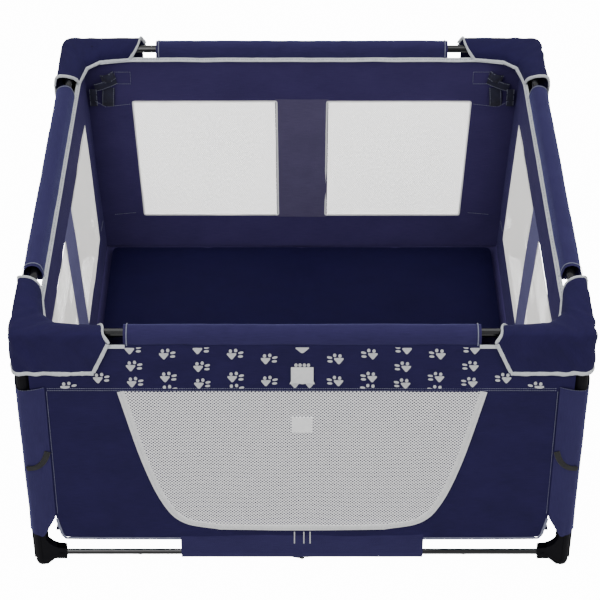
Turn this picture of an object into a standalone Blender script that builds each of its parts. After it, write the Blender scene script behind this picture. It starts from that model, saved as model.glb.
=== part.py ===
"""Travel play yard: four upright corner posts joined by folding top and bottom rails.

World frame: +X to the right, the zipped door faces -Y, +Z up, the floor under the feet at z = 0.
Each side has a top rail and a bottom rail, and each rail is two halves with a hinge in its middle.
The top hinges drop and the bottom hinges rise while the four posts draw together.
"""

import math

import bpy
import bmesh
from mathutils import Matrix, Vector

# Whole object
OVERALL = 1.220          # outside width and depth, across the padded corner covers
HEIGHT = 0.677           # top of the corner covers
GAP = 0.0003             # left between pieces that touch
FACETS = 16              # sides of a rail tube
PIN_FACETS = 8

# Frame layout, as distances from the middle of the yard
POST = 0.588             # post axes
TOP_PLANE = 0.5795       # plane of a side's top rail
BOTTOM_PLANE = 0.599     # plane of a side's bottom rail, outboard so that the rails pass each other
WALL_PLANE = 0.6055      # outer layer of the fabric walls
TOP_Z = 0.657            # axis of the top rails
BOTTOM_Z = 0.040         # axis of the bottom rails

# Folding geometry, the same for the top and bottom rails
REACH = 0.045            # post axis to a rail's outer pivot
PIVOT = POST - REACH     # outer pivot, from the middle of the side
FIRST_END, SECOND_START = -0.012, 0.0145   # where the two tubes of a rail end, by its middle
CREST = 0.012            # middle hinge pin, off the rail axis on the folding side
TAIL = 0.006             # rail behind its outer pivot

# Tubes
POST_RADIUS = 0.0125
TOP_RADIUS = 0.0095
BOTTOM_RADIUS = 0.0065
TUBE_WALL = 0.001
POST_LOW, POST_HIGH = 0.031, 0.6545

CLEVIS_GRIP = BOTTOM_RADIUS + 0.0015   # outer faces of the bottom hinge's plates

# Plastic corner pieces
TOP_FORK = 0.0133        # half width of a top bracket's rail fork
TOP_SLOT = 0.0103
BOTTOM_FORK = 0.0095
BOTTOM_SLOT = 0.0073
FORK_END = 0.057         # post axis to the open end of a fork
COLLAR_RADIUS = 0.0165
BRACKET_LOW = 0.505
FOOT_RADIUS = 0.0170
FOOT_LOW, FOOT_HIGH = 0.008, 0.100
FOOT_FORK_LOW, FOOT_FORK_HIGH = BOTTOM_Z - 0.0135, BOTTOM_Z + 0.017
GLIDE_RADIUS = 0.015

# Middle latches of the top rails
LATCH_HALF_WIDTH = 0.012
LATCH_BACK, LATCH_FRONT = -0.050, 0.056
BUTTON_X = 0.045
BUTTON_RADIUS = 0.0035
BUTTON_TIP = 0.0136

# Soft parts
FABRIC = 0.002
WALL_LOW, WALL_HIGH = 0.0745, 0.634
INNER_TOP, INNER_LOW = 0.562, 0.518    # inner layer of the walls, from the middle, at its top and foot
INNER_FOOT_Z = 0.0705
SLEEVE_RADIUS, SLEEVE_SKIN = 0.0200, 0.0015
SLEEVE_HALF = 0.371
HEM_SLEEVE_HALF = 0.272  # half its length
HEM_SLEEVE_LOW = 0.0205
HEM_SLEEVE_DEPTH, HEM_SLEEVE_SKIN = 0.011, 0.0012
COVER_REACH = 0.192      # post axis to the open end of a corner cover
COVER_INSIDE = 0.043
COVER_LOW = 0.563
COVER_SKIN = 0.0025
FLOOR_HALF, FLOOR_Z = 0.566, 0.0665
MAT_HALF, MAT_Z, MAT_THICKNESS = 0.513, 0.0705, 0.009
DOOR_HINGE_Z = 0.510
DOOR_SIDE = [(0.388, 0.508), (0.350, 0.3125), (0.3095, 0.187), (0.265, 0.128), (0.190, 0.1075)]
DOOR_LOW = 0.103
ZIP_GAP = 0.002

CORNERS = {  # name: (x sign, y sign, quarter turns of the corner pieces)
    "front_left": (-1, -1, 0),
    "front_right": (1, -1, 1),
    "back_right": (1, 1, 2),
    "back_left": (-1, 1, 3),
}
SIDES = {  # name: (outward direction, quarter turns of the rails)
    "front": (Vector((0, -1, 0)), 0),
    "left": (Vector((-1, 0, 0)), 1),
    "right": (Vector((1, 0, 0)), 1),
    "back": (Vector((0, 1, 0)), 0),
}
HALF_NAMES = {0: ("left", "right"), 1: ("front", "back")}


# ---------- scene and materials ----------

def clear_scene():
    for obj in list(bpy.data.objects):
        bpy.data.objects.remove(obj, do_unlink=True)


def new_collection(name):
    collection = bpy.data.collections.new(name)
    bpy.context.scene.collection.children.link(collection)
    return collection


def material(name, colour, roughness, metallic=0.0):
    made = bpy.data.materials.new(name)
    made.use_nodes = True
    shader = made.node_tree.nodes["Principled BSDF"]
    shader.inputs["Base Color"].default_value = (*colour, 1.0)
    shader.inputs["Roughness"].default_value = roughness
    shader.inputs["Metallic"].default_value = metallic
    made.diffuse_color = (*colour, 1.0)
    return made


# ---------- shapes ----------

def finished(obj, matrix=None):
    """The object's evaluated mesh, welded and moved by matrix. The object itself is removed."""
    graph = bpy.context.evaluated_depsgraph_get()
    mesh = bpy.data.meshes.new_from_object(obj.evaluated_get(graph))
    mesh.transform((matrix or Matrix()) @ obj.matrix_world)
    bpy.data.objects.remove(obj, do_unlink=True)
    work = bmesh.new()
    work.from_mesh(mesh)
    bmesh.ops.remove_doubles(work, verts=work.verts, dist=0.00001)
    bmesh.ops.recalc_face_normals(work, faces=work.faces)
    work.to_mesh(mesh)
    work.free()
    return mesh


def linked(name, data):
    obj = bpy.data.objects.new(name, data)
    bpy.context.scene.collection.objects.link(obj)
    return obj


def turned(profile, steps, matrix=None):
    """A closed (radius, height) profile turned about Z, outer side first and downwards."""
    mesh = bpy.data.meshes.new("profile")
    edges = [(i, i + 1) for i in range(len(profile) - 1)]
    on_axis = profile[0][0] == 0 and profile[-1][0] == 0
    if not on_axis:
        edges.append((len(profile) - 1, 0))
    mesh.from_pydata([(r, 0, z) for r, z in profile], edges, [])
    obj = linked("turned", mesh)
    screw = obj.modifiers.new("Turn", "SCREW")
    screw.steps = screw.render_steps = steps
    screw.use_merge_vertices = True
    screw.merge_threshold = 0.00001
    return finished(obj, matrix)


def tube(length, radius, inner, steps, matrix=None):
    """A pipe from z = 0 up to length."""
    return turned([(radius, length), (radius, 0), (inner, 0), (inner, length)], steps, matrix)


def rod(radius, low, high, steps, matrix=None):
    return turned([(0, high), (radius, high), (radius, low), (0, low)], steps, matrix)


def outline(points, thickness, holes=(), matrix=None):
    """A flat plate in the XY plane, centred on z = 0."""
    curve = bpy.data.curves.new("outline", "CURVE")
    curve.dimensions = "2D"
    curve.fill_mode = "BOTH"
    curve.extrude = thickness / 2
    for ring in (points, *holes):
        spline = curve.splines.new("POLY")
        spline.points.add(len(ring) - 1)
        for point, (x, y) in zip(spline.points, ring):
            point.co = (x, y, 0, 1)
        spline.use_cyclic_u = True
    return finished(linked("outline", curve), matrix)


def box(low, high):
    work = bmesh.new()
    bmesh.ops.create_cube(work, size=1)
    low, high = Vector(low), Vector(high)
    size = Matrix.Diagonal((*(high - low), 1))
    bmesh.ops.transform(work, matrix=Matrix.Translation((low + high) / 2) @ size, verts=work.verts)
    mesh = bpy.data.meshes.new("box")
    work.to_mesh(mesh)
    work.free()
    return mesh


def carved(base, steps):
    """The base mesh after each (operation, mesh) of steps, in order, by exact Booleans."""
    for operation, tool_mesh in steps:
        body, tool = linked("body", base), linked("tool", tool_mesh)
        boolean = body.modifiers.new("Boolean", "BOOLEAN")
        boolean.operation = operation
        boolean.object = tool
        base = finished(body)
        bpy.data.objects.remove(tool, do_unlink=True)
    return base


def disc_points(x, y, radius, steps=PIN_FACETS):
    return [(x + radius * math.cos(math.tau * i / steps), y + radius * math.sin(math.tau * i / steps))
            for i in range(steps)]


UPRIGHT = Matrix.Rotation(math.pi / 2, 4, "X")      # an XY outline stands up in the XZ plane
ALONG_X = Matrix.Rotation(math.pi / 2, 4, "Y")      # a turned piece lies along +X
ALONG_Y = Matrix.Rotation(-math.pi / 2, 4, "X")     # a turned piece lies along +Y


def cross_rod(radius, x, z, half_length=0.05):
    """A cutter along Y through (x, z)."""
    return rod(radius, -half_length, half_length, PIN_FACETS, Matrix.Translation((x, 0, z)) @ ALONG_Y)


def rivet(shank, head, half_grip, x, z, matrix=None):
    """A rivet along Y, set into whatever it is joined with at half_grip on both sides."""
    inside = half_grip - 0.0003
    outside = half_grip + 0.0014
    profile = [(0, outside), (head, outside), (head, inside), (shank, inside),
               (shank, -inside), (head, -inside), (head, -outside), (0, -outside)]
    return turned(profile, PIN_FACETS, (matrix or Matrix()) @ Matrix.Translation((x, 0, z)) @ ALONG_Y)


# ---------- corner pieces, in the frame of the front left post ----------

def arm_places(shift):
    """The two matrices that put an arm made along +X on both sides of a post."""
    return (Matrix.Translation((0, shift, 0)),
            Matrix.Translation((shift, 0, 0)) @ Matrix.Rotation(math.pi / 2, 4, "Z"))


def fork_steps(shift, side_outline, half_width, slot_low, slot_high):
    """The Boolean steps that add and slot both rail forks of a corner piece."""
    joins, cuts = [], []
    for place in arm_places(shift):
        joins.append(("UNION", outline(side_outline, 2 * half_width, matrix=place @ UPRIGHT)))
        slot = box(slot_low, slot_high)
        slot.transform(place)
        cuts.append(("DIFFERENCE", slot))
    return joins, cuts


def pivot_steps(shift, half_grip, z):
    """The riveted pins that the rails turn on, which stay with their corner piece."""
    return [("UNION", rivet(0.0029, 0.005, half_grip, REACH, z, place)) for place in arm_places(shift)]


def top_bracket_mesh():
    shift = POST - TOP_PLANE
    top = TOP_Z + 0.015
    side = [(0.008, top), (FORK_END, top), (FORK_END, TOP_Z - 0.013), (0.034, TOP_Z - 0.017),
            (0.015, TOP_Z - 0.060), (0.008, TOP_Z - 0.060)]
    joins, cuts = fork_steps(shift, side, TOP_FORK, (0.031, -TOP_SLOT, 0.55),
                             (0.080, TOP_SLOT, TOP_Z + 0.0116))
    collar = turned([(0, top + 0.002), (COLLAR_RADIUS - 0.004, top + 0.002), (COLLAR_RADIUS, top - 0.002),
                     (COLLAR_RADIUS, BRACKET_LOW), (0, BRACKET_LOW)], FACETS)
    bore = rod(POST_RADIUS + GAP, 0.4, POST_HIGH + GAP, FACETS)
    return carved(collar, [*joins, ("DIFFERENCE", bore), *cuts,
                           *pivot_steps(shift, TOP_FORK, TOP_Z)])


def foot_mesh():
    shift = POST - BOTTOM_PLANE
    gusset_steps = 5
    gusset_top = FOOT_HIGH - 0.002
    gusset_radius = gusset_top - FOOT_FORK_HIGH - 0.001
    gusset = [(0.052 - gusset_radius * math.cos(a), gusset_top - gusset_radius * math.sin(a))
              for a in (math.pi / 2 * i / gusset_steps for i in range(gusset_steps + 1))]
    side = [(0.002, gusset_top), *gusset, (FORK_END, FOOT_FORK_HIGH), (FORK_END, FOOT_FORK_LOW),
            (0.030, FOOT_FORK_LOW), (0.012, FOOT_LOW + 0.001), (0.002, FOOT_LOW + 0.001)]
    joins, cuts = fork_steps(shift, side, BOTTOM_FORK, (0.035, -BOTTOM_SLOT, BOTTOM_Z - 0.0092),
                             (0.080, BOTTOM_SLOT, 0.12))
    body = turned([(0, FOOT_HIGH), (FOOT_RADIUS - 0.002, FOOT_HIGH), (FOOT_RADIUS, FOOT_HIGH - 0.003),
                   (FOOT_RADIUS, FOOT_LOW), (0, FOOT_LOW)], FACETS)
    bore = rod(POST_RADIUS + GAP, POST_LOW - GAP, 0.2, FACETS)
    return carved(body, [*joins, ("DIFFERENCE", bore), *cuts,
                         *pivot_steps(shift, BOTTOM_FORK, BOTTOM_Z)])


def glide_mesh():
    top = FOOT_LOW - GAP
    return turned([(0, top), (GLIDE_RADIUS - 0.001, top), (GLIDE_RADIUS, top - 0.002),
                   (GLIDE_RADIUS, 0.002), (GLIDE_RADIUS - 0.002, 0), (0, 0)], FACETS)


def corner_cover_mesh():
    """The padded cover over a top bracket, open below and at its ends."""
    outside = POST - OVERALL / 2

    def plan(low, high, end):
        return [(low, low), (end, low), (end, high), (high, high), (high, end), (low, end)]

    def slab(points, low, high):
        return outline(points, high - low, matrix=Matrix.Translation((0, 0, (low + high) / 2)))

    skin = slab(plan(outside, COVER_INSIDE, COVER_REACH), COVER_LOW, HEIGHT)
    hollow = slab(plan(outside + COVER_SKIN, COVER_INSIDE - COVER_SKIN, COVER_REACH + 0.01),
                  COVER_LOW - 0.01, HEIGHT - COVER_SKIN)
    return carved(skin, [("DIFFERENCE", hollow)])


def post_sleeve_mesh():
    """The fabric channel that holds a post in the walls' corner."""
    low, high = FOOT_HIGH + 0.002, BRACKET_LOW - 0.002
    return tube(high - low, 0.0155, 0.0132, FACETS, Matrix.Translation((0, 0, low)))


# ---------- rail pieces, in the frame of a side: +X along the rail from its first half ----------

def rail_tube_mesh(start, end, radius, z, holes):
    """A rail tube along X with a cross hole for each (x, radius) of holes."""
    pipe = tube(end - start, radius, radius - TUBE_WALL, FACETS,
                Matrix.Translation((start, 0, z)) @ ALONG_X)
    return carved(pipe, [("DIFFERENCE", cross_rod(size, x, z)) for x, size in holes])


def tang_mesh(z, crest, half_height, neck):
    """The flat steel tang welded in a second half's end, with its eye on the middle hinge pin."""
    eye = 0.0052
    up = math.copysign(1, crest)
    points = [(0.034, -up * half_height), (0.034, up * half_height),
              (SECOND_START + 0.001, up * half_height), (SECOND_START - 0.001, up * neck)]
    arc = [(eye * math.cos(a), crest + up * eye * math.sin(a))
           for a in (math.radians(d) for d in range(30, 241, 30))]
    points += arc + [(SECOND_START - 0.001, -up * neck), (SECOND_START + 0.001, -up * half_height)]
    points = [(x, y + z) for x, y in points]
    return outline(points, 0.005, holes=[disc_points(0, z + crest, 0.0027)], matrix=UPRIGHT)


def latch_housing_mesh():
    """A channel on the first half that closes round the second, with two ears for the hinge pin."""
    low, high = TOP_Z - 0.0135, TOP_Z + 0.0115
    side = [(LATCH_BACK, low), (LATCH_FRONT - 0.003, low), (LATCH_FRONT, low + 0.003),
            (LATCH_FRONT, TOP_Z + 0.0065), (BUTTON_X - 0.005, TOP_Z + 0.0080), (0.014, high),
            (LATCH_BACK + 0.003, high), (LATCH_BACK, high - 0.003)]
    body = outline(side, 2 * LATCH_HALF_WIDTH, matrix=UPRIGHT)
    slot_half = TOP_RADIUS + 0.0004
    slot = box((FIRST_END + 0.0015, -slot_half, TOP_Z - slot_half), (0.1, slot_half, TOP_Z + 0.05))
    bore = rod(TOP_RADIUS + GAP, -0.1, FIRST_END + 0.0005, FACETS,
               Matrix.Translation((0, 0, TOP_Z)) @ ALONG_X)
    pin_z = TOP_Z + CREST
    ear_low = TOP_Z + 0.0050
    ear = [(-0.016, ear_low), (0.003, ear_low), (0.0052, pin_z - 0.002)]
    ear += [(0.0052 * math.cos(a), pin_z + 0.0052 * math.sin(a))
            for a in (math.radians(d) for d in range(0, 151, 30))]
    ear += [(-0.0055, high - 0.001), (-0.016, high - 0.001)]
    ears = outline(ear, 0.0124, matrix=UPRIGHT)
    ear_slot = box((-0.0065, -0.0029, ear_low - 0.01), (0.02, 0.0029, pin_z + 0.02))
    return carved(body, [
        ("DIFFERENCE", slot), ("UNION", ears), ("DIFFERENCE", bore), ("DIFFERENCE", ear_slot),
        ("UNION", rivet(0.0024, 0.0042, 0.0062, 0, pin_z)),
        ("DIFFERENCE", cross_rod(BUTTON_RADIUS + 0.0003, BUTTON_X, TOP_Z)),
    ])


def clevis_steps(z, crest):
    """Two steel plates riveted on a bottom rail's first half, with the hinge pin below the rail."""
    eye = 0.0052
    points = [(-0.045, z - 0.005), (-0.045, z + 0.005), (-0.008, z + 0.005)]
    points += [(eye * math.cos(a), z + crest + eye * math.sin(a))
               for a in (math.radians(d) for d in range(60, -151, -30))]
    steps = []
    for sign in (-1, 1):
        offset = Matrix.Translation((0, sign * (CLEVIS_GRIP - 0.001), 0))
        steps.append(("UNION", outline(points, 0.002, matrix=offset @ UPRIGHT)))
    pins = [rivet(0.0024, 0.0042, CLEVIS_GRIP, x, height) for x, height in ((0, z + crest), (-0.030, z))]
    return steps + [("UNION", pin) for pin in pins]


def button_mesh():
    """A snap button that stands in the second half's tube and locks in the housing's cheek."""
    inside = -0.004
    flange = 0.0058
    return turned([(0, BUTTON_TIP), (BUTTON_RADIUS - 0.0008, BUTTON_TIP),
                   (BUTTON_RADIUS, BUTTON_TIP - 0.0008), (BUTTON_RADIUS, 0.0022), (flange, 0.0022),
                   (flange, 0.0008), (BUTTON_RADIUS, 0.0008), (BUTTON_RADIUS, inside), (0, inside)],
                  PIN_FACETS)


# ---------- soft pieces ----------

def hem_sleeve_mesh():
    """The flat loop of fabric round a bottom rail's middle, in the side's frame."""
    low, high, half, skin = HEM_SLEEVE_LOW, WALL_LOW + 0.001, HEM_SLEEVE_DEPTH, HEM_SLEEVE_SKIN
    plane = BOTTOM_PLANE - WALL_PLANE
    ring = [(-half, low), (half, low), (half, high), (-half, high)]
    inner = [(-half + skin, low + skin), (half - skin, low + skin),
             (half - skin, high - skin), (-half + skin, high - skin)]
    turn = Matrix.Rotation(math.pi / 2, 4, "Z") @ UPRIGHT
    return outline(ring, 2 * HEM_SLEEVE_HALF, holes=[inner],
                   matrix=Matrix.Translation((0, -plane, 0)) @ turn)


def door_outline(grow):
    """The door's U, grown outwards by grow and mirrored about the middle."""
    side = [(x + grow, z - (grow if x < 0.3 else 0)) for x, z in DOOR_SIDE]
    side = [(side[0][0], DOOR_SIDE[0][1] + grow), *side[1:]]
    right = [*side, (0.1, DOOR_LOW - grow)]
    return [(-x, z) for x, z in reversed(right)] + right


def inner_layer_mesh(holes):
    """The inner layer of a wall, which leans in from the top rail to the edge of the floor."""
    edge = 0.006         # short of the next wall's inner layer
    top, foot = INNER_TOP - edge, INNER_LOW - edge
    points = [(-foot, INNER_FOOT_Z), (foot, INNER_FOOT_Z), (top, WALL_HIGH), (-top, WALL_HIGH)]
    lean = Matrix()
    lean[1][2] = -(INNER_TOP - INNER_LOW) / (WALL_HIGH - INNER_FOOT_Z)
    lean[1][3] = WALL_PLANE - INNER_TOP - lean[1][2] * WALL_HIGH
    return outline(points, FABRIC, holes=holes, matrix=lean @ UPRIGHT)


def wall_mesh(with_door):
    """A two-layer fabric wall with its hem sleeve, standing in the XZ plane of a side facing -Y."""
    right = [(0.528, WALL_HIGH), (0.528, 0.586), (0.569, 0.580), (0.569, 0.107), (0.545, WALL_LOW)]
    points = [(-x, z) for x, z in right] + list(reversed(right))
    holes = [door_outline(ZIP_GAP)] if with_door else []
    panel = outline(points, FABRIC, holes=holes, matrix=UPRIGHT)
    seam_half = 0.526    # the strip under the rail that joins the two layers
    strip = box((-seam_half, 0, WALL_HIGH - FABRIC), (seam_half, WALL_PLANE - INNER_TOP, WALL_HIGH))
    return carved(panel, [("UNION", hem_sleeve_mesh()), ("UNION", strip),
                          ("UNION", inner_layer_mesh(holes))])


# ---------- assembly ----------

def joint_frame(name, position, collection):
    """An empty on a joint's axis, which carries the body's pieces."""
    frame = bpy.data.objects.new(name, None)
    frame.empty_display_size = 0.05
    frame.location = position
    collection.objects.link(frame)
    return frame


def add(name, mesh, look, frame, place, collection):
    """One piece: its mesh shared where it repeats, its origin on the frame, its matrix in the world."""
    if not mesh.materials:
        mesh.materials.append(look)
        mesh.shade_smooth()
        mesh.set_sharp_from_angle(angle=math.radians(35))
    obj = bpy.data.objects.new(name, mesh)
    collection.objects.link(obj)
    obj.parent = frame
    obj.matrix_parent_inverse = Matrix.Translation(-frame.location)
    obj.matrix_basis = place
    return obj


def centred(mesh, pivot):
    """The same mesh moved so that pivot, in its own frame, becomes its origin."""
    mesh.transform(Matrix.Translation(-Vector(pivot)))
    return mesh


def quarter(turns):
    return Matrix.Rotation(math.pi / 2 * turns, 4, "Z")


def build():
    clear_scene()
    yard = new_collection("travel_play_yard")
    steel = material("black_steel", (0.012, 0.012, 0.016), 0.25, 0.6)
    plastic = material("black_plastic", (0.015, 0.015, 0.020), 0.5)
    rubber = material("grey_rubber", (0.35, 0.35, 0.36), 0.8)
    red = material("latch_button", (0.30, 0.02, 0.02), 0.4)
    oxford = material("navy_oxford", (0.018, 0.021, 0.085), 0.85)
    quilt = material("navy_mat", (0.007, 0.008, 0.040), 0.9)
    mesh_cloth = material("white_mesh", (0.60, 0.60, 0.62), 0.8)

    post_tube = tube(POST_HIGH - POST_LOW, POST_RADIUS, POST_RADIUS - TUBE_WALL, FACETS,
                     Matrix.Translation((0, 0, POST_LOW)))
    corner_pieces = {
        "post": (post_tube, steel), "top_bracket": (top_bracket_mesh(), plastic),
        "foot": (foot_mesh(), plastic), "glide": (glide_mesh(), rubber),
        "post_sleeve": (post_sleeve_mesh(), oxford), "corner_cover": (corner_cover_mesh(), oxford),
    }
    for corner, (x_sign, y_sign, turns) in CORNERS.items():
        foot_point = Vector((x_sign * POST, y_sign * POST, 0))
        frame = joint_frame(f"post_frame_{corner}", foot_point, yard)
        for kind, (mesh, look) in corner_pieces.items():
            add(f"{kind}_{corner}", mesh, look, frame, Matrix.Translation(foot_point) @ quarter(turns), yard)

    hinge_z = TOP_Z + CREST
    bottom_hinge_z = BOTTOM_Z - CREST
    outer = PIVOT + TAIL
    outer_hole, button_hole = (PIVOT, 0.0032), (BUTTON_X, BUTTON_RADIUS + 0.0002)
    first_hole = (-PIVOT, 0.0032)
    top_first = rail_tube_mesh(-outer, FIRST_END, TOP_RADIUS, TOP_Z, [first_hole])
    top_second = rail_tube_mesh(SECOND_START, outer, TOP_RADIUS, TOP_Z, [outer_hole, button_hole])
    top_second = carved(top_second, [("UNION", tang_mesh(TOP_Z, CREST, 0.0088, 0.0060))])
    bottom_first = rail_tube_mesh(-outer, FIRST_END, BOTTOM_RADIUS, BOTTOM_Z, [first_hole])
    bottom_first = carved(bottom_first, clevis_steps(BOTTOM_Z, -CREST))
    bottom_second = rail_tube_mesh(SECOND_START, outer, BOTTOM_RADIUS, BOTTOM_Z, [outer_hole])
    bottom_second = carved(bottom_second, [("UNION", tang_mesh(BOTTOM_Z, -CREST, 0.0057, 0.0040))])
    top_start_point, bottom_start_point = (-PIVOT, 0, TOP_Z), (-PIVOT, 0, BOTTOM_Z)
    top_first = centred(top_first, top_start_point)
    housing = centred(latch_housing_mesh(), top_start_point)
    top_second = centred(top_second, (0, 0, hinge_z))
    bottom_first = centred(bottom_first, bottom_start_point)
    bottom_second = centred(bottom_second, (0, 0, bottom_hinge_z))
    button = button_mesh()
    sleeve = tube(2 * SLEEVE_HALF, SLEEVE_RADIUS, SLEEVE_RADIUS - SLEEVE_SKIN, FACETS + 4,
                  Matrix.Translation((PIVOT - SLEEVE_HALF, 0, 0)) @ ALONG_X)

    plain_wall, door_wall = wall_mesh(False), wall_mesh(True)
    for side, (outward, turns) in SIDES.items():
        first, second = HALF_NAMES[turns]
        turn = quarter(turns)
        along = turn @ Vector((1, 0, 0))
        top_start = outward * TOP_PLANE - along * PIVOT + Vector((0, 0, TOP_Z))
        top_middle = outward * TOP_PLANE + Vector((0, 0, hinge_z))
        low_start = outward * BOTTOM_PLANE - along * PIVOT + Vector((0, 0, BOTTOM_Z))
        low_middle = outward * BOTTOM_PLANE + Vector((0, 0, bottom_hinge_z))
        frame = joint_frame(f"{side}_top_first_frame", top_start, yard)
        place = Matrix.Translation(top_start) @ turn
        add(f"{side}_top_rail_{first}", top_first, steel, frame, place, yard)
        add(f"{side}_latch_housing", housing, plastic, frame, place, yard)
        add(f"{side}_rail_sleeve", sleeve, oxford, frame, place, yard)
        frame = joint_frame(f"{side}_top_second_frame", top_middle, yard)
        place = Matrix.Translation(top_middle) @ turn
        add(f"{side}_top_rail_{second}", top_second, steel, frame, place, yard)
        button_point = outward * TOP_PLANE + along * BUTTON_X + Vector((0, 0, TOP_Z))
        frame = joint_frame(f"{side}_button_frame", button_point, yard)
        facing = outward.to_track_quat("Z", "Y").to_matrix().to_4x4()
        add(f"{side}_latch_button", button, red, frame, Matrix.Translation(button_point) @ facing, yard)
        frame = joint_frame(f"{side}_bottom_first_frame", low_start, yard)
        add(f"{side}_bottom_rail_{first}", bottom_first, steel, frame,
            Matrix.Translation(low_start) @ turn, yard)
        frame = joint_frame(f"{side}_bottom_second_frame", low_middle, yard)
        add(f"{side}_bottom_rail_{second}", bottom_second, steel, frame,
            Matrix.Translation(low_middle) @ turn, yard)
        wall_turn = Matrix.Rotation(math.atan2(outward.x, -outward.y), 4, "Z")
        frame = joint_frame(f"{side}_wall_frame", outward * WALL_PLANE, yard)
        add(f"{side}_wall", door_wall if side == "front" else plain_wall, oxford, frame,
            Matrix.Translation(outward * WALL_PLANE) @ wall_turn, yard)

    hinge_point = Vector((0, -WALL_PLANE, DOOR_HINGE_Z))
    door = centred(outline(door_outline(0), FABRIC, matrix=UPRIGHT), (0, 0, DOOR_HINGE_Z))
    add("door_flap", door, mesh_cloth, joint_frame("door_frame", hinge_point, yard),
        Matrix.Translation(hinge_point), yard)
    floor_frame = joint_frame("floor_frame", Vector((0, 0, FLOOR_Z)), yard)
    floor = box((-FLOOR_HALF, -FLOOR_HALF, 0), (FLOOR_HALF, FLOOR_HALF, FABRIC))
    add("floor_sheet", floor, oxford, floor_frame, Matrix.Translation((0, 0, FLOOR_Z)), yard)
    mat = box((-MAT_HALF, -MAT_HALF, 0), (MAT_HALF, MAT_HALF, MAT_THICKNESS))
    add("floor_mat", mat, quilt, joint_frame("mat_frame", Vector((0, 0, MAT_Z)), yard),
        Matrix.Translation((0, 0, MAT_Z)), yard)


build()
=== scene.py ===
"""Looks of the folding travel play yard: fabric, mesh, piping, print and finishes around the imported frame."""

import math

import bmesh
import bpy
from mathutils import Matrix, Vector, noise


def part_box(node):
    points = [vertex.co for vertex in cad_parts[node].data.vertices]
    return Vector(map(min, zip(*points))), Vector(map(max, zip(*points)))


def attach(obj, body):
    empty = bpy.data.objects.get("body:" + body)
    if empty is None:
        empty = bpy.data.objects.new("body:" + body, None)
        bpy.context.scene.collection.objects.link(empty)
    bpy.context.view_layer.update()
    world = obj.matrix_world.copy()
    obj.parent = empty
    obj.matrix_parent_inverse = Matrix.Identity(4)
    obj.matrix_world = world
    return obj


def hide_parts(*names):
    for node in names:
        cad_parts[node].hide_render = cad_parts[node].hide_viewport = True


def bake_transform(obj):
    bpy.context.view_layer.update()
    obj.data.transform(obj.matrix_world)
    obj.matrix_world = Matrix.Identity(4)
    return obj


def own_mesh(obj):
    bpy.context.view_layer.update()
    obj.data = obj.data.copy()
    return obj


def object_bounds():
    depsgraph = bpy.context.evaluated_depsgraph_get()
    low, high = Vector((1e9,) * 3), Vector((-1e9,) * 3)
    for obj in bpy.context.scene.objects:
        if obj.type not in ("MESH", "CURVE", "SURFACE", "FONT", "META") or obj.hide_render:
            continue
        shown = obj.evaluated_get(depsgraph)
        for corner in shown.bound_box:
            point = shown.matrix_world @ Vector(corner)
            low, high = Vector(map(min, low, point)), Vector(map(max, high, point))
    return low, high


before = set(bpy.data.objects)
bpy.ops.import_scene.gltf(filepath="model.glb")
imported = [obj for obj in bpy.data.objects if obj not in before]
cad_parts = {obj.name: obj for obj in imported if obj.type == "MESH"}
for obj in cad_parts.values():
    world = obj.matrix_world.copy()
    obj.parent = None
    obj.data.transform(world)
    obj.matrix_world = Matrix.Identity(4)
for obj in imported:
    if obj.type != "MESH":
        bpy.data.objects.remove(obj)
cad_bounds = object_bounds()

# ---------------------------------------------------------------- sizes, from the frame

HEIGHT = cad_bounds[1].z
PANEL = 0.6065       # outer layer of the walls, from the middle of the yard
INNER = 0.562        # inner layer, under the piping
INNER_FOOT = 0.527   # inner layer, at the mat
SEAM_Z = 0.6454      # where the padded rail sleeve meets the band
SEAM_IN_Z = 0.638    # the same on the inner side, where the piping runs
MAT_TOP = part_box("floor_mat")[1].z
MAT_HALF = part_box("floor_mat")[1].x
SLEEVE_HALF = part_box("front_rail_sleeve")[1].x
HEM_HALF = 0.272     # half the length of a hem sleeve
HEM_Z = 0.0888       # lower edge of the outer layer
CLOTH = 0.0009       # thickness of the woven cloth
NET = 0.0005         # thickness of the mesh
INNER_EDGE = 0.558   # half the width of the inner layer and of the floor cloth
TOP_RAIL_V, BOTTOM_RAIL_V, BOTTOM_RAIL_Z = 0.5795, 0.599, 0.040   # where the rails' middle hinges bend
FLOOR_CLOTH_Z = 0.0672
STAGE_Z = -0.0015

SIDES = {"front": 0, "right": 90, "back": 180, "left": -90}
WALL_BODY = {"front": "post_front_left", "left": "post_front_left",
             "back": "post_back_left", "right": "post_front_right"}
FOLD_AXIS = {"front": (1, 0, 0), "back": (1, 0, 0), "left": (0, 1, 0), "right": (0, 1, 0)}


def turn(side):
    """Turns a piece made for the front wall to that side."""
    return Matrix.Rotation(math.radians(SIDES[side]), 4, "Z")


# ---------------------------------------------------------------- materials

def rgb(code):
    """An sRGB hex colour as linear RGBA."""
    values = [int(code[i:i + 2], 16) / 255 for i in (1, 3, 5)]
    return [v / 12.92 if v < 0.04045 else ((v + 0.055) / 1.055) ** 2.4 for v in values] + [1.0]


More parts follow.
